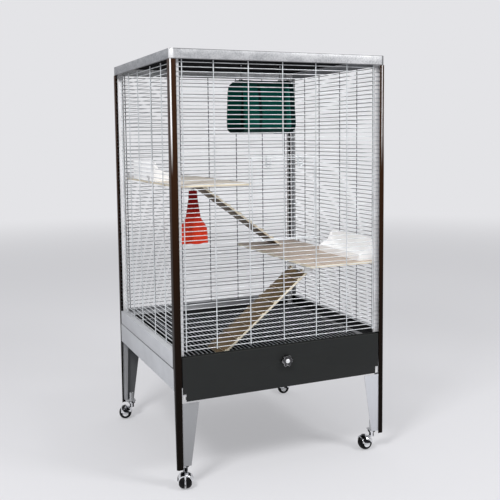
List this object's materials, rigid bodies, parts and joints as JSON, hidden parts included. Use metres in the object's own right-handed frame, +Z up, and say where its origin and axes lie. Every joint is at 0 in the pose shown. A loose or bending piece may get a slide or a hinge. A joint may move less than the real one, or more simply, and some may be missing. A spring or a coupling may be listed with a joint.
{
  "type": "ferret cage",
  "caption": "Tall wheeled small-animal cage with wire walls, folded steel stand, shelves, ramps, hanging tunnel and pouch, drop-front litter drawer and front door.",
  "frame": {"origin": "on the floor under the middle of the cabinet", "axes": "+Z up, -Y towards the front with the door and drawer, +X to the right seen from the front"},
  "size_m": [0.8169, 0.7772, 1.44],
  "materials": {
    "band_silver": "hammered silver powder coat",
    "roof_black": "black powder coat",
    "screw_zinc": "zinc plated",
    "post_brown": "semi-gloss brown powder coat",
    "liner_silver": "satin silver powder coat",
    "stand_grey": "satin silver grey powder coat",
    "caster_chrome": "bright chrome",
    "tyre_black": "black hard rubber with plated hub",
    "wire_zinc": "zinc plated wire",
    "rail_grey": "satin blue grey powder coat",
    "grate_black": "black powder coat",
    "grate_zinc": "zinc plated wire",
    "shelf_wood": "light beech board with cream edges",
    "bracket_steel": "zinc plated",
    "tray_plastic": "black moulded plastic",
    "drawer_charcoal": "charcoal textured powder coat",
    "knob_chrome": "bright chrome",
    "ramp_wood": "brown stained board with cream edges",
    "tunnel_fleece": "dark teal fleece",
    "hook_chrome": "plated wire",
    "pouch_fleece": "red fleece",
    "feed_plastic": "white translucent plastic"
  },
  "bodies": {
    "root": {"top_band": "band_silver", "roof_panel": "roof_black", "cabinet_screws": "screw_zinc", "post_front_left": "post_brown", "liner_front_left": "liner_silver", "leg_front_left": "stand_grey", "post_front_right": "post_brown", "liner_front_right": "liner_silver", "leg_front_right": "stand_grey", "post_rear_left": "post_brown", "liner_rear_left": "liner_silver", "leg_rear_left": "stand_grey", "post_rear_right": "post_brown", "liner_rear_right": "liner_silver", "leg_rear_right": "stand_grey", "panel_left": "wire_zinc", "panel_right": "wire_zinc", "panel_rear": "wire_zinc", "grille_left": "wire_zinc", "grille_right": "wire_zinc", "grille_lower": "wire_zinc", "grille_upper": "wire_zinc", "rail_left": "rail_grey", "rail_right": "rail_grey", "rail_rear": "rail_grey", "rail_front": "rail_grey", "apron_left": "rail_grey", "apron_right": "rail_grey", "apron_rear": "rail_grey", "tray_runners": "rail_grey", "grate_frame": "grate_black", "grate_wires": "grate_zinc", "shelf_upper": "shelf_wood", "shelf_lower": "shelf_wood", "shelf_hooks": "bracket_steel", "ramp_brackets": "bracket_steel"},
    "drawer": {"litter_tray": "tray_plastic", "flap_ears": "bracket_steel"},
    "flap": {"tray_flap": "drawer_charcoal"},
    "knob": {"latch_knob": "knob_chrome", "knob_cam": "knob_chrome"},
    "door": {"front_door": "wire_zinc"},
    "latch_left": {"door_latch_left": "wire_zinc"},
    "latch_right": {"door_latch_right": "wire_zinc"},
    "ramp_up": {"ramp_upper": "ramp_wood"},
    "ramp_down": {"ramp_lower": "ramp_wood"},
    "hanging_tunnel": {"tunnel": "tunnel_fleece", "tunnel_hangers": "hook_chrome"},
    "hanging_pouch": {"pouch": "pouch_fleece", "pouch_hook": "hook_chrome"},
    "feed_up": {"feed_tray_upper": "feed_plastic"},
    "feed_down": {"feed_tray_lower": "feed_plastic"},
    "swivel_front_left": {"caster_front_left": "caster_chrome"},
    "wheels_front_left": {"wheels_front_left": "tyre_black"},
    "swivel_front_right": {"caster_front_right": "caster_chrome"},
    "wheels_front_right": {"wheels_front_right": "tyre_black"},
    "swivel_rear_left": {"caster_rear_left": "caster_chrome"},
    "wheels_rear_left": {"wheels_rear_left": "tyre_black"},
    "swivel_rear_right": {"caster_rear_right": "caster_chrome"},
    "wheels_rear_right": {"wheels_rear_right": "tyre_black"}
  },
  "joints": [
    {"name": "drawer_slide", "type": "slide", "parent": "root", "child": "drawer", "axis": [0, -1, 0], "range_m": [0, 0.45]},
    {"name": "flap_hinge", "type": "hinge", "parent": "drawer", "child": "flap", "pos_m": [0, -0.3628, 0.301], "axis": [1, 0, 0], "range_deg": [0, 90]},
    {"name": "knob_turn", "type": "hinge", "parent": "flap", "child": "knob", "pos_m": [0, -0.37, 0.3873], "axis": [0, -1, 0], "range_deg": [0, 90]},
    {"name": "door_hinge", "type": "hinge", "parent": "root", "child": "door", "pos_m": [0, -0.3628, 0.80785], "axis": [1, 0, 0], "range_deg": [0, 130]},
    {"name": "latch_left_slide", "type": "slide", "parent": "door", "child": "latch_left", "axis": [0, 0, 1], "range_m": [0, 0.008]},
    {"name": "latch_right_slide", "type": "slide", "parent": "door", "child": "latch_right", "axis": [0, 0, 1], "range_m": [0, 0.008]},
    {"name": "ramp_up_hinge", "type": "hinge", "parent": "root", "child": "ramp_up", "pos_m": [-0.112, 0.22, 0.98], "axis": [0, -1, 0], "range_deg": [0, 36]},
    {"name": "ramp_down_hinge", "type": "hinge", "parent": "root", "child": "ramp_down", "pos_m": [0.104, -0.25, 0.68], "axis": [0, 1, 0], "range_deg": [0, 40]},
    {"name": "tunnel_swing", "type": "hinge", "parent": "root", "child": "hanging_tunnel", "pos_m": [0.06, -0.045, 1.423], "axis": [1, 0, 0], "range_deg": [-12, 12]},
    {"name": "pouch_swing", "type": "hinge", "parent": "root", "child": "hanging_pouch", "pos_m": [-0.288, -0.25, 0.9849], "axis": [1, 0, 0], "range_deg": [-12, 12]},
    {"name": "feed_up_lift", "type": "slide", "parent": "root", "child": "feed_up", "axis": [0, 0, 1], "range_m": [0, 0.1]},
    {"name": "feed_down_lift", "type": "slide", "parent": "root", "child": "feed_down", "axis": [0, 0, 1], "range_m": [0, 0.1]},
    {"name": "swivel_front_left", "type": "hinge", "parent": "root", "child": "swivel_front_left", "pos_m": [-0.365, -0.344, 0.04592], "axis": [0, 0, 1], "continuous": true},
    {"name": "roll_front_left", "type": "hinge", "parent": "swivel_front_left", "child": "wheels_front_left", "pos_m": [-0.37352, -0.36962, 0.025], "axis": [0.9489, -0.3156, 0], "continuous": true},
    {"name": "swivel_front_right", "type": "hinge", "parent": "root", "child": "swivel_front_right", "pos_m": [0.365, -0.344, 0.04592], "axis": [0, 0, 1], "continuous": true},
    {"name": "roll_front_right", "type": "hinge", "parent": "swivel_front_right", "child": "wheels_front_right", "pos_m": [0.33815, -0.34118, 0.025], "axis": [-0.1045, -0.9945, 0], "continuous": true},
    {"name": "swivel_rear_left", "type": "hinge", "parent": "root", "child": "swivel_rear_left", "pos_m": [-0.365, 0.344, 0.04592], "axis": [0, 0, 1], "continuous": true},
    {"name": "roll_rear_left", "type": "hinge", "parent": "swivel_rear_left", "child": "wheels_rear_left", "pos_m": [-0.3912, 0.35053, 0.025], "axis": [-0.2419, -0.9703, 0], "continuous": true},
    {"name": "swivel_rear_right", "type": "hinge", "parent": "root", "child": "swivel_rear_right", "pos_m": [0.365, 0.344, 0.04592], "axis": [0, 0, 1], "continuous": true},
    {"name": "roll_rear_right", "type": "hinge", "parent": "swivel_rear_right", "child": "wheels_rear_right", "pos_m": [0.33963, 0.35324, 0.025], "axis": [-0.342, -0.9397, 0], "continuous": true}
  ]
}
